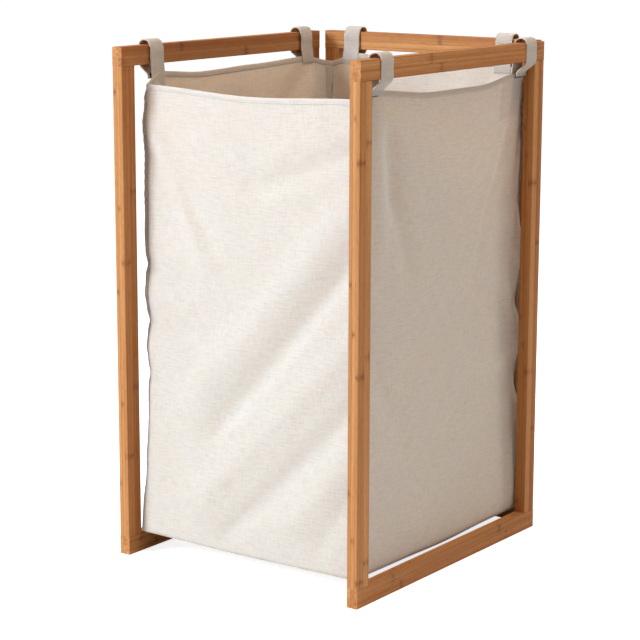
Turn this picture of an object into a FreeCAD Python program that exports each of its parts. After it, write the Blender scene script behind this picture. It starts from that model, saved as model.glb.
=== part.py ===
"""Laundry hamper: three bamboo frames that stand as an open-fronted U, and a linen bag that hangs
inside them from six fabric straps.

Millimetres.  +Z is up, the open front faces -Y and +X is to the right.  The origin is on the floor,
under the middle of the whole object.
"""
import FreeCAD, Part
import math
import os

V = FreeCAD.Vector

# ---- bamboo frames ----
frame_height = 700.0        # floor to the top of the rails
frame_width = 400.0         # over the outer faces of the two side frames
side_length = 448.0         # front to back of a side frame
bar_width = 26.0            # every bar, seen square on to its frame
bar_thickness = 16.5        # every bar, through its frame
back_gap = 10.0             # from the side frames' back ends to the back frame
back_side_gap = 3.0         # from a side frame's inner face to the end of the back frame
edge_radius = 1.0           # rounded long edges of the bars

# ---- dowels in the frame corners ----
dowel_radius = 3.0
dowel_length = 32.0
dowel_spacing = 12.0        # between the two dowels of one corner
dowel_clearance = 0.05
dowel_end_space = 1.0       # glue room at each end of a dowel

# ---- brackets that tie the side frames to the back frame ----
bracket_thickness = 1.5
bracket_height = 44.0
bracket_margin = 3.0        # bare wood left beyond each leaf
bracket_from_end = 110.0    # floor or top of the frames to the middle of a bracket
screw_spacing = 24.0
screw_radius = 1.6
screw_head_radius = 3.3
screw_length = 13.0
screw_clearance = 0.05
screw_slot = 0.8            # width of the cross in a screw head

# ---- straps ----
strap_width = 27.0
strap_thickness = 1.6
strap_clearance = 0.4       # between a strap and the corners of its rail
strap_drop = 3.5            # the arch springs this far below the top of the rail
strap_tail = 12.0           # the outer leg reaches this far below the rail
strap_seam = 17.0           # length of the inner leg that is sewn to the bag
strap_hinge_gap = 0.3       # between the sewn leg and the flap that opens
strap_jog = 8.0             # height over which the inner leg steps over the hem
strap_from_wall = 1.1       # from the bag's front hem to the front straps
strap_slid = 12.0           # the left front strap has slid this far back along its rail
strap_back = 37.0           # back end of a side frame to the middle of its back strap
strap_side = 50.0           # end of the back frame to the middle of its strap
tape_thickness = 0.7
tape_margin = 2.5

# ---- bag ----
cloth = 1.2                 # thickness of one layer of the bag's linen
hem_thickness = 2.4
hem_height = 10.0
floor_gap = 2.0             # from the tops of the bottom rails up to the bag
front_drop = 26.0           # from the undersides of the top rails down to the bag's top edges
side_drop = 14.0
back_drop = 3.0
front_setback_low = 22.0    # front of the frames to the front panel, at the bottom
front_setback_high = 40.0   # the same at the top edge
base_board_thickness = 3.0
base_board_clearance = 2.0
label_width = 45.0
label_height = 32.0
label_thickness = 0.5
label_back = 12.0           # from the label to the back panel
label_drop = 14.0           # from the hem down to the label

# ---- worked out from the values above ----
rail_bottom = frame_height - bar_width
arch_z = frame_height - strap_drop
arch_inner = math.hypot(bar_thickness / 2, strap_drop) + strap_clearance
arch_outer = arch_inner + strap_thickness
strap_proud = arch_outer - bar_thickness / 2        # strap's outer face, out from the rail's face

back_face = side_length + back_gap                  # front face of the back frame
total_depth = back_face + bar_thickness + strap_proud
front = -total_depth / 2                            # front ends of the side frames
back = front + back_face
side_back = front + side_length
half = frame_width / 2
inner = half - bar_thickness                        # inner face of a side frame
back_half = inner - back_side_gap                   # half the width of the back frame

bag_floor = bar_width + floor_gap                   # underside of the bag
front_top = rail_bottom - front_drop
side_top = rail_bottom - side_drop
back_top = rail_bottom - back_drop
bag_half = inner - strap_proud                      # outer face of a side panel
bag_back = back - strap_proud                       # outer face of the back panel
bracket_middles = (bracket_from_end, frame_height - bracket_from_end)


def box(x0, x1, y0, y1, z0, z1):
    return Part.makeBox(x1 - x0, y1 - y0, z1 - z0, V(x0, y0, z0))


def prism(points, direction):
    """The solid swept by a closed outline of points along a vector."""
    face = Part.Face(Part.makePolygon(points + [points[0]]))
    return face.extrude(direction)


def save(name, shapes):
    """Write one node: a single solid, or a group of separate ones."""
    shape = shapes[0] if len(shapes) == 1 else Part.makeCompound(shapes)
    assert all(s.isValid() and s.Volume > 0 for s in shape.Solids), name
    shape.exportStep("parts/%s.step" % name)


def mirrored(shape):
    """The same piece on the other side of the object."""
    return shape.mirror(V(0, 0, 0), V(1, 0, 0))


# ---- bamboo frames ----

def bar(x0, x1, y0, y1, z0, z1, along):
    """A bar whose four long edges are rounded."""
    solid = box(x0, x1, y0, y1, z0, z1)
    long_edges = []
    for edge in solid.Edges:
        run = edge.Vertexes[1].Point - edge.Vertexes[0].Point
        if abs(run.normalize().dot(along)) > 0.9:
            long_edges.append(edge)
    return solid.makeFillet(edge_radius, long_edges)


def dowel_at(x, y, z, clearance=0.0):
    """A dowel that stands across the joint at height z, or with a clearance, its hole."""
    reach = dowel_length / 2
    if clearance:
        reach += dowel_end_space
    return Part.makeCylinder(dowel_radius + clearance, 2 * reach, V(x, y, z - reach))


def corner_dowels(posts, sideways, clearance=0.0):
    """Two dowels in both ends of each post; sideways is the direction from one to the other."""
    found = []
    for x, y in posts:
        for z in (bar_width, rail_bottom):
            for step in (-0.5, 0.5):
                spot = V(x, y, z) + sideways * (step * dowel_spacing)
                found.append(dowel_at(spot.x, spot.y, spot.z, clearance))
    return found


def side_frame():
    """The right-hand frame: two full-length rails with a post between them at each end."""
    y0, y1 = front, side_back
    bars = {
        "top_rail": bar(inner, half, y0, y1, rail_bottom, frame_height, V(0, 1, 0)),
        "bottom_rail": bar(inner, half, y0, y1, 0, bar_width, V(0, 1, 0)),
        "front_post": bar(inner, half, y0, y0 + bar_width, bar_width, rail_bottom, V(0, 0, 1)),
        "back_post": bar(inner, half, y1 - bar_width, y1, bar_width, rail_bottom, V(0, 0, 1)),
    }
    middle = (inner + half) / 2
    posts = [(middle, y0 + bar_width / 2), (middle, y1 - bar_width / 2)]
    return bars, posts, V(0, 1, 0)


def back_frame():
    """The frame across the back."""
    w = back_half
    y0, y1 = back, back + bar_thickness
    bars = {
        "top_rail": bar(-w, w, y0, y1, rail_bottom, frame_height, V(1, 0, 0)),
        "bottom_rail": bar(-w, w, y0, y1, 0, bar_width, V(1, 0, 0)),
        "left_post": bar(-w, -w + bar_width, y0, y1, bar_width, rail_bottom, V(0, 0, 1)),
        "right_post": bar(w - bar_width, w, y0, y1, bar_width, rail_bottom, V(0, 0, 1)),
    }
    middle = (y0 + y1) / 2
    posts = [(-w + bar_width / 2, middle), (w - bar_width / 2, middle)]
    return bars, posts, V(1, 0, 0)


# ---- brackets and their screws ----

def screw_body(clearance=0.0):
    """A countersunk screw pointing down -X from its flat head at x = 0, or the hole for it."""
    head = screw_head_radius + clearance
    shank = screw_radius + clearance
    sink = bracket_thickness
    tip = screw_length + clearance
    outline = [V(0, 0, 0), V(0, 0, head), V(-sink, 0, shank)]
    outline += [V(-tip + 2 * screw_radius, 0, shank), V(-tip, 0, 0)]
    face = Part.Face(Part.makePolygon(outline + [outline[0]]))
    return face.revolve(V(0, 0, 0), V(1, 0, 0), 360)


def screw():
    body = screw_body()
    reach = 1.3 * screw_radius
    for across, up in ((reach, screw_slot / 2), (screw_slot / 2, reach)):
        body = body.cut(box(-bracket_thickness * 0.6, 1, -across, across, -up, up))
    return body


def screw_places():
    """Placements of the right-hand screws: those in the side posts, then those in the back frame."""
    side_y = side_back - bar_width / 2
    back_x = back_half - bar_width / 2
    into_side = FreeCAD.Rotation(V(0, 0, 1), 180)
    into_back = FreeCAD.Rotation(V(0, 0, 1), -90)
    side, rear = [], []
    for middle in bracket_middles:
        for step in (-0.5, 0.5):
            z = middle + step * screw_spacing
            side.append(FreeCAD.Placement(V(inner - bracket_thickness, side_y, z), into_side))
            rear.append(FreeCAD.Placement(V(back_x, back - bracket_thickness, z), into_back))
    return side, rear


def placed(shape, placement):
    copy = shape.copy()
    copy.Placement = placement
    return copy


def bracket(middle, holes):
    """An angle bracket in the right back corner, one leaf on each frame."""
    z0 = middle - bracket_height / 2
    z1 = middle + bracket_height / 2
    side_end = side_back - bar_width + bracket_margin
    back_end = back_half - bar_width + bracket_margin
    side_leaf = box(inner - bracket_thickness, inner, side_end, back, z0, z1)
    back_leaf = box(back_end, inner, back - bracket_thickness, back, z0, z1)
    angle = side_leaf.fuse(back_leaf).removeSplitter()
    return angle.cut(Part.makeCompound(holes)).Solids[0]


# ---- straps ----
# A strap is drawn over a rail that runs along Y with its outer face towards +X, then turned and
# moved to its place.

def strap_leg(hem_top):
    """The inner leg: down beside the rail, over the hem, and sewn to the inside of the bag."""
    top = arch_z - strap_hinge_gap
    over = hem_top + 1.0
    inside = -arch_outer - hem_thickness - strap_thickness
    x = -arch_outer
    path = [(x, top), (x, over + strap_jog), (inside, over), (inside, hem_top - strap_seam)]
    outline = [V(px, -strap_width / 2, pz) for px, pz in path]
    outline += [V(px + strap_thickness, -strap_width / 2, pz) for px, pz in reversed(path)]
    return prism(outline, V(0, strap_width, 0))


def strap_flap():
    """The arch over the rail and the outer leg down its far side."""
    y = -strap_width / 2
    end = rail_bottom - strap_tail
    a, b = arch_inner, arch_outer
    edges = [
        Part.makeLine(V(-b, y, arch_z), V(-a, y, arch_z)),
        Part.Arc(V(-a, y, arch_z), V(0, y, arch_z + a), V(a, y, arch_z)).toShape(),
        Part.makeLine(V(a, y, arch_z), V(a, y, end)),
        Part.makeLine(V(a, y, end), V(b, y, end)),
        Part.makeLine(V(b, y, end), V(b, y, arch_z)),
        Part.Arc(V(b, y, arch_z), V(0, y, arch_z + b), V(-b, y, arch_z)).toShape(),
    ]
    return Part.Face(Part.Wire(edges)).extrude(V(0, strap_width, 0))


def hook_tape():
    """The hook tape on the inside of the outer leg, below the rail."""
    reach = strap_width / 2 - tape_margin
    z0 = rail_bottom - strap_tail + 1.0
    z1 = rail_bottom - 1.0
    return box(arch_inner - tape_thickness, arch_inner, -reach, reach, z0, z1)


def loop_tape(hem_top):
    """The loop tape on the outside of the bag, which the hook tape closes onto."""
    reach = strap_width / 2 - tape_margin
    x = -arch_outer
    return box(x, x + tape_thickness, -reach, reach, hem_top - strap_tail, hem_top - 1.0)


def strap_places():
    """Every strap: name, the turn of its outward side from +X, a point on its rail, its hem."""
    side_x = half - bar_thickness / 2
    back_y = back + bar_thickness / 2
    front_y = front + front_setback_high + hem_thickness + strap_from_wall + strap_width / 2
    rear_y = side_back - strap_back
    back_x = back_half - strap_side
    return [
        ("left_front", 180, V(-side_x, front_y + strap_slid, 0), side_top),
        ("left_back", 180, V(-side_x, rear_y, 0), side_top),
        ("right_front", 0, V(side_x, front_y, 0), side_top),
        ("right_back", 0, V(side_x, rear_y, 0), side_top),
        ("back_left", 90, V(-back_x, back_y, 0), back_top),
        ("back_right", 90, V(back_x, back_y, 0), back_top),
    ]


# ---- bag ----

def front_y_at(z):
    """The outer face of the front panel, which leans back towards its top."""
    share = (z - bag_floor) / (front_top - bag_floor)
    return front + front_setback_low + share * (front_setback_high - front_setback_low)


def front_strip(z0, z1, thickness, x):
    """A stretch of the front wall between two heights, reaching x to each side."""
    outline = [
        V(-x, front_y_at(z0), z0),
        V(-x, front_y_at(z1), z1),
        V(-x, front_y_at(z1) + thickness, z1),
        V(-x, front_y_at(z0) + thickness, z0),
    ]
    return prism(outline, V(2 * x, 0, 0))


def side_strip(z0, z1, thickness):
    """A stretch of the right wall, from the front wall to the back wall."""
    outline = [
        V(bag_half - thickness, front_y_at(z0) + cloth, z0),
        V(bag_half - thickness, front_y_at(z1) + cloth, z1),
        V(bag_half - thickness, bag_back - cloth, z1),
        V(bag_half - thickness, bag_back - cloth, z0),
    ]
    return prism(outline, V(thickness, 0, 0))


def back_strip(z0, z1, thickness, x):
    """A stretch of the back wall, reaching x to each side."""
    return box(-x, x, bag_back - thickness, bag_back, z0, z1)


def base_piece(z0, z1, margin):
    """A flat piece inside the four walls, held back from them by a margin."""
    x = bag_half - cloth - margin
    y0 = front_y_at(z1) + cloth + margin
    return box(-x, x, y0, bag_back - cloth - margin, z0, z1)


def care_label():
    """The label sewn inside the right wall, near the back."""
    x = bag_half - cloth
    y1 = bag_back - cloth - label_back
    z1 = side_top - hem_height - label_drop
    return box(x - label_thickness, x, y1 - label_width, y1, z1 - label_height, z1)


def build_frames():
    """Write the twelve bars, their dowels, the four brackets and their screws."""
    side_screws, back_screws = screw_places()
    side_holes = [placed(screw_body(screw_clearance), p) for p in side_screws]
    back_holes = [placed(screw_body(screw_clearance), p) for p in back_screws]

    bars, posts, sideways = side_frame()
    dowels = corner_dowels(posts, sideways)
    sockets = corner_dowels(posts, sideways, dowel_clearance)
    bars["back_post"] = bars["back_post"].cut(Part.makeCompound(side_holes))
    for name, solid in bars.items():
        drilled = solid.cut(Part.makeCompound(sockets)).Solids[0]
        save("right_" + name, [drilled])
        save("left_" + name, [mirrored(drilled)])
    save("right_frame_dowels", dowels)
    save("left_frame_dowels", [mirrored(d) for d in dowels])

    bars, posts, sideways = back_frame()
    sockets = corner_dowels(posts, sideways, dowel_clearance)
    sockets += back_holes + [mirrored(h) for h in back_holes]
    for name, solid in bars.items():
        save("back_" + name, [solid.cut(Part.makeCompound(sockets)).Solids[0]])
    save("back_frame_dowels", corner_dowels(posts, sideways))

    for level, middle in zip(("lower", "upper"), bracket_middles):
        corner = bracket(middle, side_holes + back_holes)
        save("right_%s_bracket" % level, [corner])
        save("left_%s_bracket" % level, [mirrored(corner)])
    screws = [placed(screw(), p) for p in side_screws + back_screws]
    save("right_bracket_screws", screws)
    save("left_bracket_screws", [mirrored(s) for s in screws])


def build_bag():
    """Write the bag's walls, hems, base and label."""
    walls = {"front": (front_strip, front_top), "back": (back_strip, back_top)}
    for name, (strip, top) in walls.items():
        fold = top - hem_height
        save("bag_%s_panel" % name, [strip(bag_floor, fold, cloth, bag_half)])
        save("bag_%s_hem" % name, [strip(fold, top, hem_thickness, bag_half - cloth)])
    panel = side_strip(bag_floor, side_top - hem_height, cloth)
    hem = side_strip(side_top - hem_height, side_top, hem_thickness)
    for name, side in (("right", lambda s: s), ("left", mirrored)):
        save("bag_%s_panel" % name, [side(panel)])
        save("bag_%s_hem" % name, [side(hem)])
    board_bottom = bag_floor + cloth
    save("bag_base_panel", [base_piece(bag_floor, board_bottom, 0.0)])
    board_top = board_bottom + base_board_thickness
    save("base_board", [base_piece(board_bottom, board_top, base_board_clearance)])
    save("care_label", [care_label()])


def build_straps():
    """Write each strap's sewn leg and its flap, with the hook and loop tapes."""
    loops = []
    for name, turn, spot, hem_top in strap_places():
        place = FreeCAD.Placement(spot, FreeCAD.Rotation(V(0, 0, 1), turn))
        save(name + "_strap_leg", [placed(strap_leg(hem_top), place)])
        save(name + "_strap_flap", [placed(strap_flap(), place)])
        save(name + "_hook_tape", [placed(hook_tape(), place)])
        loops.append(placed(loop_tape(hem_top), place))
    save("loop_tapes", loops)


os.makedirs("parts", exist_ok=True)
build_frames()
build_bag()
build_straps()
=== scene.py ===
import math
import random

import bmesh
import bpy
from mathutils import Matrix, Vector, noise


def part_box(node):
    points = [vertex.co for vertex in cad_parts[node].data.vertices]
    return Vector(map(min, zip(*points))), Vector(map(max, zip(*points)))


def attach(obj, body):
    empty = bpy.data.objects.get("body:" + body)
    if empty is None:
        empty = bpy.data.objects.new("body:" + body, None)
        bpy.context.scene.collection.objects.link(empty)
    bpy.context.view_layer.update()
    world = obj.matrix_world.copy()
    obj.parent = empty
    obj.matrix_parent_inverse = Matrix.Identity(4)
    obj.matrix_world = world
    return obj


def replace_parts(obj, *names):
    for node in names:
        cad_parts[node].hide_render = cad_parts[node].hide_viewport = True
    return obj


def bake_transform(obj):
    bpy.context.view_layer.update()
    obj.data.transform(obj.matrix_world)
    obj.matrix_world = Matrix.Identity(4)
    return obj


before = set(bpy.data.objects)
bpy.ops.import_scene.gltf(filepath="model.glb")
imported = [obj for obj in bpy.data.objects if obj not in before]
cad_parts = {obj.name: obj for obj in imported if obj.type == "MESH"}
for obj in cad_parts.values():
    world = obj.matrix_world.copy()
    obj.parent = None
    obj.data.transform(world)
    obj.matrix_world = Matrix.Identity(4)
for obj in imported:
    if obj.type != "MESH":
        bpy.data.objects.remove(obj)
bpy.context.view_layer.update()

MM = 0.001
CLOTH = 1.2 * MM  # bag cloth
HEM_DEEP = 6.4 * MM  # folded hem round the bag's mouth
BINDING_WIDE = 6.5 * MM  # tape over the corner seams, inside the bag
WEBBING = 1.6 * MM  # doubled strap linen
STRAP_HALF_WIDE = 13.5 * MM
RING = 1.5 * MM  # from one ring of points along a strap to the next
TAPE = 0.5 * MM  # hook and loop tape, and the label

# The frame and the bag's space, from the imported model

rail_low, rail_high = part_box("right_top_rail")
back_low, back_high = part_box("back_top_rail")
front_low, front_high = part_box("bag_front_panel")
side_low, side_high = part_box("bag_right_panel")
rear_low, rear_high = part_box("bag_back_panel")
rail_middle = (rail_low.x + rail_high.x) / 2
rail_half = (rail_high.x - rail_low.x) / 2
back_middle = (back_low.y + back_high.y) / 2
under_rail, over_rail = rail_low.z, rail_high.z
wall = side_high.x - CLOTH / 2  # middle of the cloth on the bag's sides
rear = rear_high.y - CLOTH / 2
bag_floor = front_low.z + CLOTH / 2


def camera():
    """One long lens, a little left of the front right post and just above the mouth of the bag."""
    azimuth, pitch, roll = map(math.radians, (35.678, 11.486, 0.159))
    forward = Vector(
        (
            -math.sin(azimuth) * math.cos(pitch),
            math.cos(azimuth) * math.cos(pitch),
            -math.sin(pitch),
        )
    )
    level = Vector((math.cos(azimuth), math.sin(azimuth), 0))
    upright = level.cross(forward)
    right = math.cos(roll) * level + math.sin(roll) * upright
    up = math.cos(roll) * upright - math.sin(roll) * level
    target = Vector((0, -0.0146, 0.31822)) - 0.01673 * right
    lens = bpy.data.cameras.new("camera")
    lens.lens, lens.sensor_width = 116.456, 36
    eye = bpy.data.objects.new("camera", lens)
    eye.matrix_world = (
        Matrix.Translation(target - forward * 2.88057)
        @ Matrix((right, up, -forward)).transposed().to_4x4()
    )
    bpy.context.collection.objects.link(eye)
    bpy.context.scene.camera = eye


# Finishes


def colour(red, green, blue):
    """A colour given in display values from 0 to 255."""
    return tuple((value / 255) ** 2.2 for value in (red, green, blue)) + (1,)


class Finish:
    """A material whose nodes are added one by one, each given its inputs and giving back its output."""

    def __init__(self, name):
        self.material = bpy.data.materials.new(name)
        self.material.use_nodes = True
        self.tree = self.material.node_tree
        self.shader = self.tree.nodes["Principled BSDF"]

    def add(self, kind, *inputs, out=0, **settings):
        node = self.tree.nodes.new("ShaderNode" + kind)
        named = settings.pop("named", {})
        for key, value in settings.items():
            setattr(node, key, value)
        for key, value in [*enumerate(inputs), *named.items()]:
            if isinstance(value, bpy.types.NodeSocket):
                self.tree.links.new(value, node.inputs[key])
            elif value is not None:
                node.inputs[key].default_value = value
        return node.outputs[out]

    def do(self, operation, *inputs):
        return self.add("Math", *inputs, operation=operation)

    def split(self, vector):
        parts = self.tree.nodes.new("ShaderNodeSeparateXYZ")
        self.tree.links.new(vector, parts.inputs[0])
        return list(parts.outputs)

    def stretched(self, parts, scales):
        """The coordinates, each times its own scale."""
        return self.add(
            "CombineXYZ", *[self.do("MULTIPLY", p, s) for p, s in zip(parts, scales)]
        )

    def noise(self, vector, detail=2.0, rough=0.5, scale=1.0):
        return self.add(
            "TexNoise",
            named={"Vector": vector, "Scale": scale, "Detail": detail, "Roughness": rough},
        )

    def fade(self, value, start, end, low=0.0, high=1.0):
        """Runs from low at start to high at end, smoothly, and stays there."""
        return self.add(
            "MapRange", value, start, end, low, high, interpolation_type="SMOOTHSTEP"
        )

    def mix(self, share, first, second, how="MIX"):
        return self.add(
            "Mix",
            out=2,
            data_type="RGBA",
            blend_type=how,
            named={0: share, 6: first, 7: second},
        )

    def wear(self, **values):
        """Links sockets to the shader, and sets plain values on it."""
        for name, value in values.items():
            socket = self.shader.inputs[name.replace("_", " ")]
            if isinstance(value, bpy.types.NodeSocket):
                self.tree.links.new(value, socket)
            else:
                socket.default_value = value

    def relief(self, height, distance, strength=1.0):
        bump = self.add(
            "Bump", named={"Strength": strength, "Distance": distance, "Height": height}
        )
        self.tree.links.new(bump, self.shader.inputs["Normal"])


def bamboo(name, along, through, inner, edge, wide=26 * MM, depth=16.5 * MM):
    """Pressed bamboo strips, three layers deep and two across.

    It has fibres along the bar, dark smudged nodes, glue lines between the layers, and painted shade along
    the edges; on the side frames, the faces turned to the bag and to the opening get painted shade too.
    """
    f = Finish(name)
    place = f.split(f.add("TexCoord", out=3))
    across = 3 - along - through
    from_edge = f.do("SUBTRACT", f.do("ABSOLUTE", place[across]), edge)
    from_face = f.do("SUBTRACT", f.do("ABSOLUTE", place[through]), inner)
    layer_at = f.do(
        "DIVIDE",
        f.do("SUBTRACT", f.do("ABSOLUTE", place[through]), inner - 0.05 * MM),
        depth / 3 + 0.04 * MM,
    )
    cells = [
        f.do("FLOOR", f.do("ADD", f.do("DIVIDE", part, 0.25), 0.5)) for part in place
    ]
    lane = f.do("FLOOR", f.do("DIVIDE", f.do("ADD", from_edge, 0.05 * MM), wide * 0.504))
    cells[along] = f.do("FLOOR", layer_at)
    cells[across] = f.do("ADD", f.do("MULTIPLY", lane, 0.37), cells[across])
    strip = f.add("TexWhiteNoise", f.add("CombineXYZ", *cells), noise_dimensions="3D")
    other = f.add(
        "TexWhiteNoise",
        f.add("VectorMath", f.add("CombineXYZ", *cells), (7.3, 2.1, 5.7), operation="ADD"),
        noise_dimensions="3D",
    )
    length = f.do("ADD", place[along], f.do("MULTIPLY", strip, 3.0))
    sides = [length, place[across], place[through]]
    fibres = f.noise(f.stretched(sides, (22, 2300, 2300)), 2.0, 0.6)
    streaks = f.noise(f.stretched(sides, (2.4, 260, 260)), 3.0, 0.55)
    bands = f.noise(f.stretched(sides, (3.5, 34, 34)), 2.0, 0.5)
    flecks = f.fade(f.noise(f.stretched(sides, (75, 2900, 2900)), 0.0), 0.60, 0.72)

    # Nodes: a dark irregular ring with a paler edge, at its own place on each strip
    gap = 0.27
    wobble = f.do(
        "MULTIPLY",
        f.do("SUBTRACT", f.noise(f.stretched(sides, (40, 420, 420)), 1.0), 0.5),
        5 * MM,
    )
    count = f.do(
        "ADD", f.do("DIVIDE", place[along], gap), f.do("MULTIPLY", other, 5.0)
    )
    from_node = f.do(
        "ABSOLUTE",
        f.do(
            "ADD",
            f.do("MULTIPLY", f.do("SUBTRACT", f.do("FRACT", count), 0.5), gap),
            wobble,
        ),
    )
    patchy = f.fade(f.noise(f.stretched(sides, (30, 120, 120)), 1.0), 0.38, 0.62, 0.1, 1.0)
    node = f.do("MULTIPLY", f.fade(from_node, 0.6 * MM, 3.2 * MM, 1.0, 0.0), patchy)
    smudge = f.do(
        "MULTIPLY",
        f.fade(from_node, 1 * MM, 15 * MM, 1.0, 0.0),
        f.fade(streaks, 0.35, 0.62, 1.0, 0.2),
    )
    rim = f.fade(f.do("ABSOLUTE", f.do("SUBTRACT", from_node, 7 * MM)), 0, 4 * MM, 1.0, 0.0)
    near_edge, far_edge, near_face, far_face = (
        f.do("ABSOLUTE", f.do("SUBTRACT", distance, size))
        for distance, size in ((from_edge, 0), (from_edge, wide), (from_face, 0), (from_face, depth))
    )
    arris = f.do(
        "MAXIMUM",
        f.do("MINIMUM", near_edge, far_edge),
        f.do("MINIMUM", near_face, far_face),
    )
    # Painted shade: darker along the bars' edges, in patches
    painted_edge_shade = f.do(
        "MULTIPLY",
        f.fade(arris, 0.5 * MM, 1.9 * MM, 1.0, 0.0),
        f.fade(streaks, 0.3, 0.6, 0.4, 1.0),
    )

    from_glue = f.do(
        "MULTIPLY",
        f.do(
            "MINIMUM",
            f.do("ABSOLUTE", f.do("SUBTRACT", layer_at, 1.0)),
            f.do("ABSOLUTE", f.do("SUBTRACT", layer_at, 2.0)),
        ),
        depth / 3,
    )
    glue = f.fade(from_glue, 0.08 * MM, 0.35 * MM, 1.0, 0.0)

    body = f.mix(f.fade(streaks, 0.3, 0.7), colour(184, 108, 48), colour(228, 160, 96))
    body = f.mix(f.fade(bands, 0.3, 0.75, 0.0, 0.5), body, colour(184, 104, 40))
    body = f.mix(f.do("MULTIPLY", strip, 0.45), body, colour(232, 168, 102))
    body = f.mix(f.do("MULTIPLY", other, 0.34), body, colour(152, 80, 28))
    body = f.mix(f.fade(fibres, 0.35, 0.7, 0.0, 0.32), body, colour(146, 82, 34))
    body = f.mix(f.do("MULTIPLY", flecks, 0.38), body, colour(118, 62, 24))
    body = f.mix(f.do("MULTIPLY", rim, 0.14), body, colour(232, 172, 106))
    body = f.mix(f.do("MULTIPLY", smudge, 0.55), body, colour(138, 72, 28))
    body = f.mix(f.do("MULTIPLY", node, 0.42), body, colour(96, 48, 18))
    body = f.mix(f.do("MULTIPLY", glue, 0.5), body, colour(104, 56, 24))
    body = f.mix(f.do("MULTIPLY", painted_edge_shade, 0.34), body, colour(120, 64, 26))
    if through == 0:  # painted shade: on the side frames, the faces turned to the bag and to the opening are darkened
        painted_face_shade = f.do(
            "MAXIMUM",
            f.fade(near_edge, 0.05 * MM, 0.3 * MM, 1.0, 0.0),
            f.fade(near_face, 0.05 * MM, 0.3 * MM, 1.0, 0.0),
        )
        body = f.mix(f.do("MULTIPLY", painted_face_shade, 0.34), body, colour(112, 56, 20))
    f.wear(
        Base_Color=body,
        Roughness=f.fade(fibres, 0.2, 0.8, 0.36, 0.52),
        Coat_Weight=0.04,
        Coat_Roughness=0.3,
        Specular_IOR_Level=0.25,
    )
    height = f.do("ADD", f.do("MULTIPLY", fibres, 0.6), f.do("MULTIPLY", streaks, 0.5))
    height = f.do("ADD", height, f.do("MULTIPLY", node, 0.5))
    sunk = f.do("ADD", f.do("MULTIPLY", glue, 0.8), f.do("MULTIPLY", flecks, 0.4))
    f.relief(f.do("SUBTRACT", height, sunk), 0.12 * MM, 0.7)
    return f.material


def linen(name, pale, mid, dark, thread=0.8 * MM, slub=1.0, relief=0.25 * MM):
    """A plain weave on the piece's own cloth map, in metres.

    Two sets of uneven threads cross, with slubs that run along them.
    """
    f = Finish(name)
    place = f.split(f.add("UVMap", uv_map="cloth"))[:2]
    flat = [place[0], place[1], 0.0]
    drift = f.noise(f.stretched(flat, (90, 90, 0)), 1.0)
    weft = f.noise(f.stretched(flat, (75, 900, 0)), 2.0, 0.65)
    warp = f.noise(f.stretched(flat, (900, 75, 0)), 2.0, 0.65)
    wide_weft = f.noise(f.stretched(flat, (45, 430, 0)), 2.0, 0.6)
    wide_warp = f.noise(f.stretched(flat, (430, 60, 0)), 2.0, 0.6)
    cloud = f.noise(f.stretched(flat, (9, 9, 0)), 3.0, 0.55)
    turns = [
        f.do(
            "SINE",
            f.do(
                "ADD",
                f.do("MULTIPLY", part, 2 * math.pi / thread),
                f.do("MULTIPLY", drift, 5.0),
            ),
        )
        for part in place
    ]
    weave = f.do("MULTIPLY", *turns)
    uneven = f.do("ADD", f.do("MULTIPLY", weft, 0.55), f.do("MULTIPLY", warp, 0.45))
    wide = f.do("ADD", f.do("MULTIPLY", wide_weft, 0.62), f.do("MULTIPLY", wide_warp, 0.38))
    cloth = f.mix(f.fade(uneven, 0.30, 0.62), mid, pale)
    cloth = f.mix(f.fade(wide, 0.42, 0.66, 0.0, 0.34 * slub), cloth, dark)
    cloth = f.mix(f.fade(weft, 0.60, 0.76, 0.0, 0.42 * slub), cloth, dark)
    cloth = f.mix(f.fade(warp, 0.62, 0.78, 0.0, 0.26 * slub), cloth, dark)
    cloth = f.mix(f.fade(cloud, 0.35, 0.7, 0.0, 0.25), cloth, mid)
    cloth = f.mix(f.fade(weave, -1.0, 0.2, 0.12, 0.0), cloth, dark)
    f.wear(
        Base_Color=cloth,
        Roughness=f.fade(uneven, 0.3, 0.7, 0.94, 0.82),
        Sheen_Weight=0.18,
        Sheen_Roughness=0.5,
        Specular_IOR_Level=0.2,
        Subsurface_Weight=0.8,
        Subsurface_Radius=(1.0, 0.72, 0.46),
        Subsurface_Scale=3 * MM,
    )
    height = f.do("ADD", f.do("MULTIPLY", weave, 0.14), f.do("MULTIPLY", uneven, 0.9))
    height = f.do("ADD", height, f.do("MULTIPLY", wide, 0.5 * slub))
    f.relief(height, relief, 0.7)
    return f.material


def grained(name, low, high, scales, rough, metal=0.0, relief=0.05 * MM, spots=None):
    """A finish with a fine grain stretched by the scales, on the piece's own coordinates."""
    f = Finish(name)
    place = f.split(f.add("TexCoord", out=3))
    fine = f.noise(f.stretched(place, scales), 3.0, 0.6)
    broad = f.noise(f.stretched(place, [s / 9 for s in scales]), 2.0, 0.5)
    body = f.mix(f.fade(fine, 0.3, 0.7), low, high)
    body = f.mix(f.fade(broad, 0.35, 0.7, 0.0, 0.4), body, low)
    if spots:
        body = f.mix(f.fade(fine, 0.62, 0.7, 0.0, 0.7), body, spots)
    f.wear(Base_Color=body, Roughness=f.fade(fine, 0.25, 0.75, *rough), Metallic=metal)
    f.relief(f.do("ADD", fine, f.do("MULTIPLY", broad, 0.5)), relief, 0.8)
    return f.material


def pile(name, low, high, step, relief):
    """Hook or loop tape: rows of tiny tufts."""
    f = Finish(name)
    place = f.add("TexCoord", out=3)
    tufts = f.add(
        "TexVoronoi", named={"Vector": place, "Scale": 1 / step, "Randomness": 0.55}
    )
    fuzz = f.noise(place, 3.0, 0.7, 2600)
    body = f.mix(f.fade(tufts, 0.1, 0.6), high, low)
    body = f.mix(f.fade(fuzz, 0.4, 0.7, 0.0, 0.5), body, high)
    f.wear(Base_Color=body, Roughness=f.fade(fuzz, 0.3, 0.7, 0.6, 0.95), Sheen_Weight=0.2)
    f.relief(f.do("SUBTRACT", f.do("MULTIPLY", fuzz, 0.5), tufts), relief)
    return f.material


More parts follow.
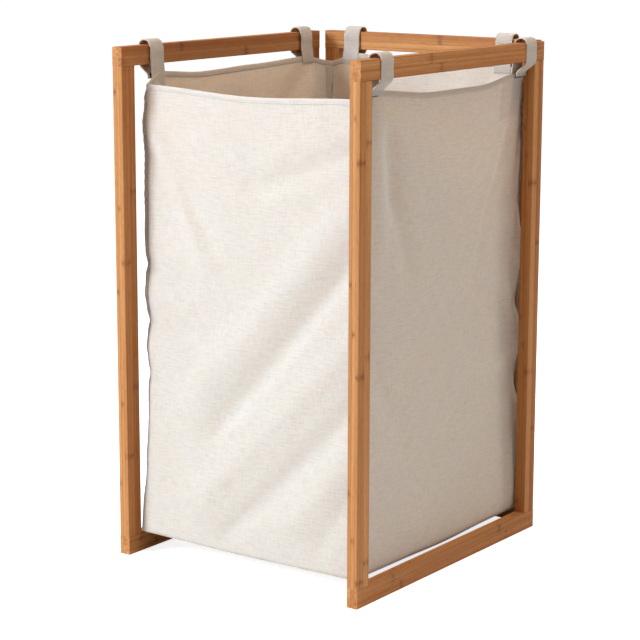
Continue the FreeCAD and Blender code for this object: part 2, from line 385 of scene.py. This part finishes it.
# Bars that share a finish: the axis along them, the axis through the frame, where their inner face lies on
# it, and where their edge at the frame's opening lies
bamboo_bars = {
    ("left_front_post", "right_front_post"): (2, 0, rail_low.x, -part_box("left_front_post")[1].y),
    ("left_back_post", "right_back_post"): (2, 0, rail_low.x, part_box("left_back_post")[0].y),
    ("left_top_rail", "right_top_rail"): (1, 0, rail_low.x, under_rail),
    ("left_bottom_rail", "right_bottom_rail"): (1, 0, rail_low.x, 0.0),
    ("back_left_post", "back_right_post"): (2, 1, back_low.y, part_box("back_right_post")[0].x),
    ("back_top_rail",): (0, 1, back_low.y, under_rail),
    ("back_bottom_rail",): (0, 1, back_low.y, 0.0),
}
dowel_wood = grained(
    "dowel_wood", colour(186, 142, 92), colour(222, 184, 134), (900, 900, 120), (0.5, 0.7)
)
zinc = grained(
    "bracket_zinc",
    colour(168, 168, 164),
    colour(206, 206, 200),
    (1500, 160, 1500),
    (0.28, 0.45),
    metal=1.0,
    relief=0.02 * MM,
)
screw_zinc = grained(
    "screw_zinc",
    colour(176, 174, 166),
    colour(214, 212, 204),
    (900, 900, 900),
    (0.22, 0.4),
    metal=1.0,
    relief=0.02 * MM,
)
hardboard = grained(
    "base_hardboard",
    colour(104, 74, 50),
    colour(142, 106, 74),
    (420, 420, 420),
    (0.6, 0.85),
    relief=0.1 * MM,
    spots=colour(84, 58, 38),
)
thread = grained(
    "sewing_thread",
    colour(206, 196, 180),
    colour(240, 234, 224),
    (2600, 2600, 1400),
    (0.6, 0.85),
    relief=0.08 * MM,
)

# Each linen's pale, middle and dark thread
bag_linen = linen(
    "bag_linen", colour(226, 210, 192), colour(214, 197, 178), colour(188, 169, 147)
)
# Painted shadow of the label inside the bag, seen through the cloth: the bag's linen a little darker
label_shadow_linen = linen(
    "linen_painted_label_shadow", colour(216, 200, 182), colour(205, 188, 169), colour(180, 161, 140)
)
# A darker linen: painted shade along the hem band, also used for the corner seam tape inside the bag
hem_linen = linen(
    "hem_linen", colour(212, 192, 171), colour(202, 181, 160), colour(180, 159, 137)
)
# The seam flanges' linen: the bag's cloth darkened as painted shade
shaded_seam_linen = linen(
    "shaded_seam_linen", colour(178, 160, 142), colour(152, 135, 118), colour(112, 98, 84)
)
strap_linen = linen(
    "strap_linen",
    colour(206, 190, 173),
    colour(192, 176, 158),
    colour(166, 149, 130),
    thread=0.7 * MM,
    slub=0.6,
)
label_tape = linen(
    "label_tape",
    colour(236, 233, 226),
    colour(226, 222, 214),
    colour(206, 201, 192),
    thread=0.4 * MM,
    slub=0.3,
    relief=0.12 * MM,
)
hook_pile = pile("hook_pile", colour(52, 48, 44), colour(104, 98, 90), 1.1 * MM, 0.4 * MM)
loop_pile = pile("loop_pile", colour(62, 58, 52), colour(128, 120, 110), 0.9 * MM, 0.3 * MM)

for bars, lie in bamboo_bars.items():
    wood = bamboo(f"{bars[0]}_bamboo", *lie)
    for bar in bars:
        bpy.data.objects[bar].material_slots[0].material = wood
for finish, fittings in (
    (dowel_wood, ("left_frame_dowels", "right_frame_dowels", "back_frame_dowels")),
    (zinc, ("left_upper_bracket", "left_lower_bracket", "right_upper_bracket", "right_lower_bracket")),
    (screw_zinc, ("left_bracket_screws", "right_bracket_screws")),
    (hardboard, ("base_board",)),
):
    for fitting in fittings:
        bpy.data.objects[fitting].material_slots[0].material = finish


# The bag: one lofted shell of four walls and a base


def between(keys, at):
    """A smooth value through (place, value) pairs."""
    for (a, low), (b, high) in zip(keys, keys[1:]):
        if at <= b:
            part = (at - a) / (b - a)
            return low + (high - low) * part * part * (3 - 2 * part)
    return keys[-1][1]


def straight(keys, at):
    """A value on the straight runs through (place, value) pairs."""
    for (a, low), (b, high) in zip(keys, keys[1:]):
        if at <= b:
            return low + (high - low) * (at - a) / (b - a)
    return keys[-1][1]


front_at_floor, front_at_rim = front_low.y + CLOTH / 2, front_high.y - 1.4 * MM

# Each corner's distance in from the bag's side, and from its front or back, in mm, against height from 0 to 1
corner_insets = {
    "front_left": (
        [(0, 1), (0.06, 3), (0.14, 9), (0.3, 12.5), (0.5, 12), (0.7, 9), (0.85, 7.5), (1, 5.5)],
        [(0, 0), (1, 0)],
    ),
    "front_right": (
        [(0, 1.5), (0.12, 4), (0.5, 8), (0.85, 7), (1, 5.5)],
        [(0, 0), (1, 0)],
    ),
    "back_right": (
        [
            (0, 2.4), (0.1, 6), (0.2, 9), (0.25, 8.5), (0.28, 11.5), (0.35, 9.5),
            (0.38, 13.5), (0.44, 11.5), (0.47, 15), (0.57, 12.5), (0.6, 16.5), (0.66, 14.5),
            (0.72, 17.5), (0.8, 16), (1, 17),
        ],
        [(0, 1.5), (0.15, 3), (0.33, 7), (0.5, 5), (0.62, 7), (1, 3.5)],
    ),
    "back_left": (
        [(0, 2), (0.15, 7), (0.5, 14), (0.8, 15), (1, 19)],
        [(0, 1.5), (0.3, 5), (0.7, 6), (1, 5)],
    ),
}
corner_order = ["front_left", "front_right", "back_right", "back_left"]

# How far the mouth stands out from the straight line between two corners, in mm. It is flat under each strap.
# The four rows of this list and the next ones are the front, right, back and left walls
held_out = [
    [(0, 0), (0.5, -2), (1, 0)],
    [(0, 0), (0.06, 6.2), (0.945, 16.4), (1, 0)],
    [(0, 0), (0.055, 3.6), (0.15, 3.8), (0.85, 4.8), (0.945, 4.9), (1, 0)],
    [(0, 0), (0.05, 18.4), (0.125, 17.4), (0.81, 8.1), (0.89, 7.1), (1, 0)],
]
# The mouth's height above the frame's feet, in mm
mouth_height = [
    [(0, 649), (0.5, 641.5), (1, 648)],
    [(0, 648), (0.042, 658), (0.38, 647), (0.66, 647), (0.9, 658), (1, 655)],
    [(0, 655), (0.118, 668), (0.5, 665), (0.885, 669), (1, 656)],
    [(0, 656), (0.092, 665), (0.4, 661), (0.7, 658), (0.93, 664), (1, 649)],
]

# The bottom seam's rise and sag, in mm
bottom_height = [
    [(0, 2), (0.5, -0.5), (1, 0.5)],
    [(0, 0.5), (0.22, -0.6), (0.5, -2.6), (0.78, 0.2), (1, 0.8)],
    [(0, 0.8), (0.5, -0.4), (1, 0.8)],
    [(0, 0.8), (0.5, -2.2), (1, 2)],
]

# Folds of each wall: from and to (along the wall, up), height and half-width, all in mm
fold_strength = (1.9, 2.6, 2.2, 2.4)
folds = [
    [
        ((336, 445), (124, 191), -3.4, 15),
        ((345, 530), (95, 245), 2.6, 26),
        ((336, 236), (150, 30), -3.2, 15),
        ((338, 335), (105, 85), 2.4, 24),
        ((345, 600), (185, 546), -2.4, 13),
        ((8, 612), (95, 430), 2.6, 13),
        ((18, 560), (100, 462), -2.2, 13),
        ((0, 408), (55, 388), -2.6, 10),
        ((0, 366), (60, 352), 1.8, 11),
        ((0, 325), (60, 306), -2.4, 10),
        ((0, 246), (50, 232), -1.8, 11),
        ((0, 286), (45, 272), 1.4, 10),
        ((345, 175), (250, 60), 2.0, 18),
        ((345, 118), (300, 40), -1.8, 12),
    ],
    [
        ((62, 600), (84, 520), -2.6, 13),
        ((84, 520), (120, 430), -2.2, 15),
        ((36, 610), (52, 470), 1.6, 14),
        ((352, 592), (322, 520), 2.2, 5.5),
        ((322, 520), (283, 400), 2.2, 5.5),
        ((360, 585), (290, 395), -1.9, 9),
        ((432, 375), (395, 460), 2.4, 8),
        ((432, 291), (398, 372), -2.2, 9),
        ((432, 233), (390, 345), 2.6, 8),
        ((432, 169), (380, 300), -2.4, 10),
        ((432, 160), (400, 30), 2.0, 14),
        ((140, 60), (330, 210), 1.2, 26),
        ((30, 330), (110, 180), -1.2, 20),
    ],
    [
        ((40, 630), (90, 480), -2.4, 13),
        ((52, 640), (130, 520), 1.8, 12),
        ((300, 640), (230, 430), -2.2, 16),
        ((318, 630), (300, 430), 1.8, 14),
        ((180, 600), (150, 300), 1.8, 24),
        ((60, 380), (240, 120), -2.0, 26),
    ],
    [
        ((40, 630), (120, 420), -2.4, 15),
        ((60, 640), (190, 470), 1.8, 16),
        ((380, 630), (300, 400), -2.4, 15),
        ((350, 640), (240, 500), 1.6, 16),
        ((220, 600), (200, 320), 1.6, 26),
        ((100, 330), (300, 110), -1.8, 28),
    ],
]


def fold(point, start, end, height, half_width):
    """How much one fold lifts a point: a rounded ridge that dies away past its ends."""
    start, end = Vector(start), Vector(end)
    run = (end - start).normalized()
    along = (point - start).dot(run)
    off = abs((point - start).cross(run))
    past = max(0, -along, along - (end - start).length)
    return height * math.exp(-((off / half_width) ** 2) - (past / (1.6 * half_width)) ** 2)


def corner_at(name, up):
    """A corner seam's place in plan at a height from 0 to 1."""
    aside, in_from_end = corner_insets[name]
    x = wall - between(aside, up) * MM
    inset = between(in_from_end, up) * MM
    if name.startswith("front"):
        y = front_at_floor + (front_at_rim - front_at_floor) * up + inset
    else:
        y = rear - inset
    return Vector((-x if name.endswith("left") else x, y, 0))


def wall_point(side, part, up):
    """A point of the bag's cloth: which wall, how far along it and how far up, from 0 to 1."""
    start = corner_at(corner_order[side], up)
    end = corner_at(corner_order[(side + 1) % 4], up)
    run = end - start
    outward = Vector((run.y, -run.x, 0)).normalized()
    spot = Vector((part * run.length, up * (over_rail - bag_floor))) / MM
    hold = max(0, (up - 0.52) / 0.48) ** 1.7
    lift = straight(held_out[side], part) * hold
    calm = min(1, up / 0.05) * (1 - 0.85 * max(0, (up - 0.93) / 0.07))
    wave = fold_strength[side] * sum(fold(spot, *one) for one in folds[side])
    seed = Vector((part * 2.6 + side * 9.1, up * 3.4, side * 4.7))
    wave += 1.6 * noise.noise(seed) + 0.7 * noise.noise(seed * 2.7)
    # Puckers beside the sewn corners, strongest by the back of the right wall
    for distance, phase in (
        (spot.x, side * 2.0),
        (run.length / MM - spot.x, side * 2.0 + 2.0),
    ):
        uneven = noise.noise(Vector((phase * 3.1, spot.y / 55, 0.3)))
        ripple = math.sin(spot.y / 29 * math.tau / 1.25 + phase + 3 * uneven)
        if (side, phase) == (1, 4.0):
            strength = 2.6
        else:
            strength = 0.6 + 0.8 * min(1, max(0, (up - 0.6) / 0.15))
        wave += strength * ripple * math.exp(-distance / 14) * min(1, distance / 5)
    high = between(mouth_height[side], part) * MM
    low = bag_floor + between(bottom_height[side], part) * MM
    z = low + (high - low) * up
    return start + run * part + outward * ((lift + wave * calm) * MM) + Vector((0, 0, z))


def base_point(across, back):
    """A point of the bag's base, stretched between the bottom seams of the four walls."""
    near, far = wall_point(0, across, 0), wall_point(2, 1 - across, 0)
    left, right = wall_point(3, 1 - back, 0), wall_point(1, back, 0)
    corners = wall_point(0, 0, 0).lerp(wall_point(0, 1, 0), across).lerp(
        wall_point(2, 1, 0).lerp(wall_point(2, 0, 0), across), back
    )
    return near.lerp(far, back) + left.lerp(right, across) - corners


def made(name, mesh_maker, finishes, smooth=True):
    """An object from a bmesh, with its finishes."""
    mesh = bpy.data.meshes.new(name)
    mesh_maker.to_mesh(mesh)
    mesh_maker.free()
    for finish in finishes:
        mesh.materials.append(finish)
    for polygon in mesh.polygons:
        polygon.use_smooth = smooth
    piece = bpy.data.objects.new(name, mesh)
    bpy.context.collection.objects.link(piece)
    return piece


def give_thickness(piece, thickness, soften=None):
    """The piece's surface gets a thickness, half on each side, and may get rounded edges."""
    thick = piece.modifiers.new("thickness", "SOLIDIFY")
    thick.thickness, thick.offset = thickness, 0
    if soften:
        round_off = piece.modifiers.new("edges", "BEVEL")
        round_off.width, round_off.segments, round_off.limit_method = soften, 2, "ANGLE"


def set_shape(piece):
    """The piece's modifiers become its mesh."""
    graph = bpy.context.evaluated_depsgraph_get()
    mesh = bpy.data.meshes.new_from_object(piece.evaluated_get(graph))
    piece.modifiers.clear()
    old, piece.data = piece.data, mesh
    bpy.data.meshes.remove(old)


columns, deep, rows = 30, 36, 62
shell = bmesh.new()
bmesh.ops.create_cube(shell, size=1)
bmesh.ops.delete(shell, geom=[f for f in shell.faces if f.normal.z > 0.5], context="FACES")
for axis, cuts in ((0, columns - 1), (1, deep - 1), (2, rows - 1)):
    bmesh.ops.subdivide_edges(
        shell,
        edges=[e for e in shell.edges if abs((e.verts[0].co - e.verts[1].co)[axis]) > 0.01],
        cuts=cuts,
        use_grid_fill=True,
    )
crease = shell.edges.layers.float.new("crease_edge")
for edge in shell.edges:
    at_side, at_end, at_floor = (
        all(abs(abs(vert.co[axis]) - 0.5) < 0.001 for vert in edge.verts)
        and (axis < 2 or edge.verts[0].co.z < 0)
        for axis in range(3)
    )
    if (at_side and at_end) or (at_floor and (at_side or at_end)):
        edge[crease] = 0.85
shell.normal_update()
cloth_map = shell.loops.layers.uv.new("cloth")
width, length, height = 2 * wall, rear - front_at_floor, front_high.z - bag_floor
hem_row, seam_column, label_shadow_faces = 1, 2, 3
for face in shell.faces:
    normal, middle = face.normal, face.calc_center_median()
    for loop in face.loops:
        x, y, z = loop.vert.co
        if abs(normal.z) > 0.5:
            loop[cloth_map].uv = (x * width, y * length)
        elif abs(normal.y) > 0.5:
            flip, shift = (-1, 0.7) if normal.y > 0 else (1, 0)
            loop[cloth_map].uv = (x * width * flip + shift, z * height + 1.1)
        else:
            flip, shift = (1, 2.3) if normal.x > 0 else (-1, 1.6)
            loop[cloth_map].uv = (y * length * flip + shift, z * height + 1.1)
    if abs(normal.z) < 0.5 and middle.z > 0.5 - 1 / rows:
        face.material_index = hem_row
    elif abs(normal.x) > 0.5 and abs(middle.y) > 0.5 - 1 / deep:
        face.material_index = seam_column
    # Faces of the right wall over the label inside take the painted label shadow
    elif normal.x > 0.5 and middle.y > 0.295 and middle.z > 0.402:
        face.material_index = label_shadow_faces
for vert in shell.verts:
    x, y, z = vert.co
    up = z + 0.5
    if 0.5 / rows < 1 - up < 1.5 / rows:
        up = 1 - HEM_DEEP / height
    if abs(x) > 0.499 and 0.5 / deep < 0.5 - abs(y) < 1.5 / deep:
        y = math.copysign(0.5 - BINDING_WIDE / length, y)
    if y < -0.499:
        place = wall_point(0, x + 0.5, up)
    elif x > 0.499:
        place = wall_point(1, y + 0.5, up)
    elif y > 0.499:
        place = wall_point(2, 0.5 - x, up)
    elif x < -0.499:
        place = wall_point(3, 0.5 - y, up)
    else:
        place = base_point(x + 0.5, y + 0.5)
    vert.co = place
bag = made("bag", shell, [bag_linen, bag_linen, bag_linen, label_shadow_linen])
smooth = bag.modifiers.new("smooth", "SUBSURF")
smooth.levels = smooth.render_levels = 1
set_shape(bag)


def part_of_bag(name, kind, finish, shift, thickness, soften):
    """A piece cut from some of the bag's faces, moved out along them and given its own thickness."""
    cut = bmesh.new()
    cut.from_mesh(bag.data)
    bmesh.ops.delete(cut, geom=[f for f in cut.faces if f.material_index != kind], context="FACES")
    for face in cut.faces:
        # The front of the hem keeps the bag's own linen; elsewhere the darker linen paints the hem's shade
        at_front = face.calc_center_median().y < front_at_rim + 6 * MM and face.normal.y < -0.7
        face.material_index = int(at_front)
    for vert in cut.verts:
        vert.co += vert.normal * shift
    piece = made(name, cut, [finish, bag_linen])
    give_thickness(piece, thickness, soften)
    return piece


bead_maker = bmesh.new()
bmesh.ops.create_uvsphere(bead_maker, u_segments=6, v_segments=4, radius=1)
# The operator gives its parts in an order that changes from run to run
order = Vector((1, 7, 49))
bead_maker.verts.sort(key=lambda vert: vert.co.dot(order))
bead_maker.faces.sort(key=lambda face: face.calc_center_median().dot(order))
bead = bpy.data.meshes.new("bead")
bead_maker.to_mesh(bead)
bead_maker.free()
bead_shape = [vert.co.copy() for vert in bead.vertices]


def stitch(thread_work, centre, along, outward, long=3.4 * MM, wide=0.55 * MM):
    """One stitch, a low bead of thread lying on the cloth."""
    turn = Matrix((along.cross(outward), outward, along)).transposed().to_4x4()
    size = Matrix.Diagonal((wide / 2, wide * 0.35, long / 2, 1))
    place = Matrix.Translation(centre) @ turn @ size
    for vert, at in zip(bead.vertices, bead_shape):
        vert.co = place @ at
    thread_work.from_mesh(bead)


hem = part_of_bag("bag_hem", hem_row, hem_linen, 0, 2.2 * MM, 0.6 * MM)
seams = part_of_bag("bag_seams", seam_column, hem_linen, -1.2 * MM, 1.2 * MM, 0.3 * MM)


# How wide a seam flange is, and how deep its puckers are in mm, against height from 0 to 1
flange_width = [(0, 0.25), (0.35, 0.35), (0.6, 0.9), (0.9, 1), (0.97, 0.75), (1, 0.05)]
flange_pucker = [(0, 0.4), (0.68, 0.6), (0.78, 1.6), (0.97, 1.7), (1, 0.3)]


def seam_flange(name, corner, way, wide, chance):
    """The two walls' edges sewn together, standing out of the corner as a narrow puckered strip, in the bag's
    linen darkened as painted shade.
    """
    strip = bmesh.new()
    bmesh.ops.create_grid(strip, x_segments=3, y_segments=240, size=0.5)
    strip_map = strip.loops.layers.uv.new("cloth")
    for face in strip.faces:
        for loop in face.loops:
            x, y, _ = loop.vert.co
            loop[strip_map].uv = (x * wide + chance, y * height)
    side = corner_order.index(corner)
    aside = Vector((-way.y, way.x, 0))
    for vert in strip.verts:
        x, y, _ = vert.co
        reach, up = x + 0.5, 0.006 + 0.984 * (y + 0.5)
        spread = noise.noise(Vector((up * 17, chance * 3.3, 0.5)))
        pucker = math.sin(up * 330 + 5 * spread + chance)
        pucker += 0.6 * noise.noise(Vector((up * 60, chance, 2.0)))
        pucker *= between(flange_pucker, up) * MM
        out = wide * between(flange_width, up) * (1 + 0.22 * spread) * reach
        vert.co = wall_point(side, 0, up) + way * (out - 1.2 * MM) + aside * (pucker * reach)
    bmesh.ops.recalc_face_normals(strip, faces=strip.faces)
    piece = made(name, strip, [shaded_seam_linen])
    give_thickness(piece, 1.9 * MM, soften=0.5 * MM)
    return piece


flanges = [
    seam_flange(f"{corner}_seam_flange", corner, Vector(way).normalized(), wide * MM, number * 0.9)
    for number, (corner, way, wide) in enumerate(
        (
            ("front_left", (-0.88, -0.47, 0), 5.8),
            ("front_right", (0.88, -0.47, 0), 5.8),
            ("back_right", (0.5, 0.87, 0), 3.5),
            ("back_left", (-0.8, 0.6, 0), 5.5),
        )
    )
]

hem_stitches = bmesh.new()
work = bmesh.new()
work.from_mesh(bag.data)
for edge in work.edges:
    kinds = {f.material_index for f in edge.link_faces}
    if hem_row in kinds and len(kinds) == 2:
        first, second = (v.co for v in edge.verts)
        along = (second - first).normalized()
        outward = sum((f.normal for f in edge.link_faces), Vector()).normalized()
        for way in (1, -1):
            stitch(
                hem_stitches,
                (first + second) / 2 + Vector((0, 0, 1.5 * MM)) + outward * (way * 1.15 * MM),
                along,
                outward,
            )
work.free()
stitching = made("hem_stitches", hem_stitches, [thread])

give_thickness(bag, CLOTH)

for piece in (bag, hem, seams, stitching, *flanges):
    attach(piece, "bag")
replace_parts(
    bag, "bag_front_panel", "bag_back_panel", "bag_left_panel", "bag_right_panel", "bag_base_panel"
)
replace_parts(hem, "bag_front_hem", "bag_back_hem", "bag_left_hem", "bag_right_hem")


# The six straps, each over its rail and back under it to the bag


def smooth_path(points, step):
    """Evenly spaced points on a smooth line through the given ones."""
    ends = [points[0] * 2 - points[1], *points, points[-1] * 2 - points[-2]]
    fine = []
    for a, b, c, d in zip(ends, ends[1:], ends[2:], ends[3:]):
        for number in range(12):
            t = number / 12
            curve = b * 2 + (c - a) * t
            curve += (a * 2 - b * 5 + c * 4 - d) * t * t
            curve += (b * 3 - a - c * 3 + d) * t**3
            fine.append(curve / 2)
    fine.append(points[-1])
    spaced, left = [fine[0]], step
    for a, b in zip(fine, fine[1:]):
        run = (b - a).length
        while run >= left and run > 0:
            a = a.lerp(b, left / run)
            spaced.append(a)
            run = (b - a).length
            left = step
        left -= run
    return spaced


def strap(name, middle, out, half, leg, chance):
    """A doubled linen strap: sewn inside the bag, over the rail, down its outer face and tucked under it."""
    rng = random.Random(chance)
    side = Vector((-out.y, out.x, 0))
    hinge = -(half + 1.1 * MM + WEBBING)
    gap = [rng.uniform(-0.3, 0.5) * MM for _ in range(6)]
    line = [
        (hinge - 3.0 * MM, under_rail - leg),
        (hinge - 2.8 * MM, under_rail - leg * 0.6),
        (hinge - 1.6 * MM, under_rail - leg * 0.15),
        (hinge - 0.5 * MM, under_rail + 8 * MM),
        (hinge - 0.3 * MM, over_rail - 6 * MM),
        (hinge + 2.6 * MM, over_rail + 3.2 * MM + gap[0]),
        (-3.0 * MM, over_rail + 6.2 * MM + gap[1]),
        (3.0 * MM, over_rail + 6.2 * MM + gap[1]),
        (half - 0.2 * MM, over_rail + 3.0 * MM + gap[2]),
        (half + 1.5 * MM, over_rail - 4 * MM),
        (half + 1.1 * MM, under_rail + 12 * MM),
        (half + 1.1 * MM, under_rail + 2 * MM),
        (half - 1.0 * MM, under_rail - 4.2 * MM + gap[3]),
        (half - 7.5 * MM, under_rail - 9.2 * MM + gap[4]),
        (-half + 3.2 * MM, under_rail - 14.5 * MM + gap[5]),
        (-half + 2.6 * MM, under_rail - 21 * MM + gap[5]),
    ]
    path = smooth_path([Vector((a, b)) for a, b in line], RING)
    lean = rng.uniform(-0.6, 0.6) * MM
    rings = len(path) - 1
    ribbon = bmesh.new()
    bmesh.ops.create_grid(ribbon, x_segments=8, y_segments=rings, size=0.5)
    ribbon_map = ribbon.loops.layers.uv.new("cloth")
    for face in ribbon.faces:
        for loop in face.loops:
            x, y, _ = loop.vert.co
            loop[ribbon_map].uv = (x * 2 * STRAP_HALF_WIDE + chance * 0.13, y * rings * RING)

    def spot(index, across, lift=0.0):
        """A point on the strap: which ring, and how far across from -1 to 1."""
        index = min(max(index, 0), rings)
        low = min(int(index), rings - 1)
        here = path[low].lerp(path[low + 1], index - low)
        run = (path[low + 1] - path[low]).normalized()
        off = Vector((-run.y, run.x))
        belly = 0.25 * MM * noise.noise(Vector((index / 9, across * 1.3, chance * 3.3)))
        here = here + off * (lift + belly - 0.25 * MM * abs(across) ** 3)
        drift = lean * math.sin(index / rings * 3.0)
        place = middle + out * here.x + side * (across * STRAP_HALF_WIDE + drift)
        return place + Vector((0, 0, here.y)), run, off

    for vert in ribbon.verts:
        x, y, _ = vert.co
        vert.co = spot((y + 0.5) * rings, x * 2)[0]
    bmesh.ops.recalc_face_normals(ribbon, faces=ribbon.faces)
    piece = made(f"{name}_strap", ribbon, [strap_linen, thread])
    give_thickness(piece, WEBBING, soften=0.5 * MM)
    set_shape(piece)

    sewn = bmesh.new()
    sewn.from_mesh(piece.data)
    plain = len(sewn.faces)

    def sew(index, across, along_strap=True):
        """A stitch through the strap, showing on both faces."""
        for way in (1, -1):
            centre, run, off = spot(index, across, way * (WEBBING / 2 + 0.05 * MM))
            up_strap = out * run.x + Vector((0, 0, run.y))
            outward = out * off.x + Vector((0, 0, off.y))
            stitch(sewn, centre, up_strap if along_strap else side, outward * way, 2.6 * MM, 0.45 * MM)

    for index in range(2, rings - 1, 3):
        sew(index, -0.84)
        sew(index, 0.84)
    for index in (1.5, 11, rings - 2):
        for number in range(-2, 3):
            sew(index, number * 0.28, False)
    sewn.faces.ensure_lookup_table()
    for face in sewn.faces[plain:]:
        face.material_index = 1
    sewn.to_mesh(piece.data)
    sewn.free()
    for polygon in piece.data.polygons:
        polygon.use_smooth = True
    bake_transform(piece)
    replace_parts(piece, f"{name}_strap_leg", f"{name}_strap_flap")

    def patch(kind, finish, body_name, place):
        """A small piece of tape, given how far across and how far down each point of it lies."""
        work = bmesh.new()
        bmesh.ops.create_grid(work, x_segments=6, y_segments=4, size=0.5)
        for vert in work.verts:
            vert.co = place(vert.co.x, vert.co.y + 0.5)
        bmesh.ops.recalc_face_normals(work, faces=work.faces)
        tape = made(f"{name}_{kind}_patch", work, [finish])
        give_thickness(tape, TAPE)
        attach(tape, body_name)
        return tape

    def on_tail(across, down):
        """A point of the hook tape, on the inside of the strap's tail."""
        where, _, off = spot(rings - 5 + down * 4.4, across * 1.5)
        return where - out * (WEBBING / 2 + 0.3 * MM)

    wall_number = 1 + ["right", "back", "left"].index(name.split("_")[0])
    flat = Vector((abs(out.y), abs(out.x), 0))
    part = min(
        (step / 400 for step in range(401)),
        key=lambda share: abs((wall_point(wall_number, share, 1) - middle).dot(flat)),
    )

    def on_bag(across, down):
        """A point of the loop tape, on the outside of the hem below the strap."""
        up = 1 - (1.5 + 5.5 * down) * MM / height
        at = wall_point(wall_number, part, up)
        beside = wall_point(wall_number, part + across * 21 * MM / length, up)
        return Vector((beside.x, beside.y, at.z)) + out * (1.4 * MM)

    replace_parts(patch("hook_tape", hook_pile, f"{name}_strap", on_tail), f"{name}_hook_tape")
    return patch("loop_tape", loop_pile, "bag", on_bag)


# How far each strap's sewn end hangs below the rail, in mm
strap_legs = {
    "left_front": 31,
    "left_back": 19,
    "right_front": 30,
    "right_back": 28,
    "back_left": 22,
    "back_right": 22,
}
loop_tapes = []
for number, (name, leg) in enumerate(strap_legs.items(), 1):
    low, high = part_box(f"{name}_strap_flap")
    centre = (low + high) / 2
    if name.startswith("back"):
        middle, out = Vector((centre.x, back_middle, 0)), Vector((0, 1, 0))
        half = (back_high.y - back_low.y) / 2
    else:
        way = -1 if name.startswith("left") else 1
        middle, out = Vector((way * rail_middle, centre.y, 0)), Vector((way, 0, 0))
        half = rail_half
    loop_tapes.append(strap(name, middle, out, half, leg * MM, number))
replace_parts(loop_tapes[0], "loop_tapes")


# The sewn-in label

label = bmesh.new()
bmesh.ops.create_grid(label, x_segments=8, y_segments=6, size=0.5)
label_map = label.loops.layers.uv.new("cloth")
for face in label.faces:
    for loop in face.loops:
        loop[label_map].uv = (loop.vert.co.x * 0.045, loop.vert.co.y * 0.032)
for vert in label.verts:
    x, y, _ = vert.co
    part, up = 0.925 + x * 0.11, 0.955 + y * 0.052
    here, aside, above = (
        wall_point(1, *at) for at in ((part, up), (part + 0.01, up), (part, up + 0.01))
    )
    inward = (above - here).cross(aside - here).normalized()
    vert.co = here + inward * (1.3 * MM)
bmesh.ops.recalc_face_normals(label, faces=label.faces)
tag = made("label_tag", label, [label_tape])
give_thickness(tag, TAPE)
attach(tag, "bag")
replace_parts(tag, "care_label")


# Floor and light


def lamp(name, place, target, size, power, tint=(1, 1, 1)):
    """A square soft box, turned to its target."""
    light = bpy.data.lights.new(name, "AREA")
    light.size, light.energy, light.color = size, power, tint
    stand = bpy.data.objects.new(name, light)
    stand.location = place
    stand.rotation_euler = (Vector(target) - Vector(place)).to_track_quat("-Z", "Y").to_euler()
    bpy.context.collection.objects.link(stand)


ground = bmesh.new()
bmesh.ops.create_grid(ground, x_segments=1, y_segments=1, size=40)
paper = Finish("floor_paper")
tooth = paper.noise(paper.add("TexCoord", out=3), 3.0, 0.5, 6.0)
paper.wear(
    Base_Color=paper.mix(paper.fade(tooth, 0.3, 0.7), colour(244, 244, 244), colour(248, 248, 248)),
    Roughness=0.9,
    Emission_Color=(1, 1, 1, 1),
    Emission_Strength=paper.do("MULTIPLY", paper.add("LightPath"), 0.8),
)
floor = made("floor", ground, [paper.material], smooth=False)

lamp("key", (-2.4, -4.05, 2.65), (0, 0, 0.35), 1.5, 326, (0.672, 0.806, 1.0))
lamp("fill", (2.5, 2.7, 1.9), (0, 0, 0.4), 1.3, 24, (1, 0.97, 0.93))
lamp("top", (0.5, -0.3, 2.6), (0, 0, 0.4), 1.2, 27, (1, 0.94, 0.88))
world = bpy.data.worlds.new("studio")
world.use_nodes = True
sky = world.node_tree.nodes["Background"]
sky.inputs[0].default_value = (1, 1, 1, 1)
# White behind the object, and dimmer as a light on it
seen, strength = (
    world.node_tree.nodes.new(f"ShaderNode{kind}") for kind in ("LightPath", "MapRange")
)
strength.inputs[3].default_value, strength.inputs[4].default_value = 0.23, 1.0
world.node_tree.links.new(seen.outputs[0], strength.inputs[0])
world.node_tree.links.new(strength.outputs[0], sky.inputs[1])
bpy.context.scene.world = world
bpy.context.scene.view_settings.view_transform = "Standard"

camera()
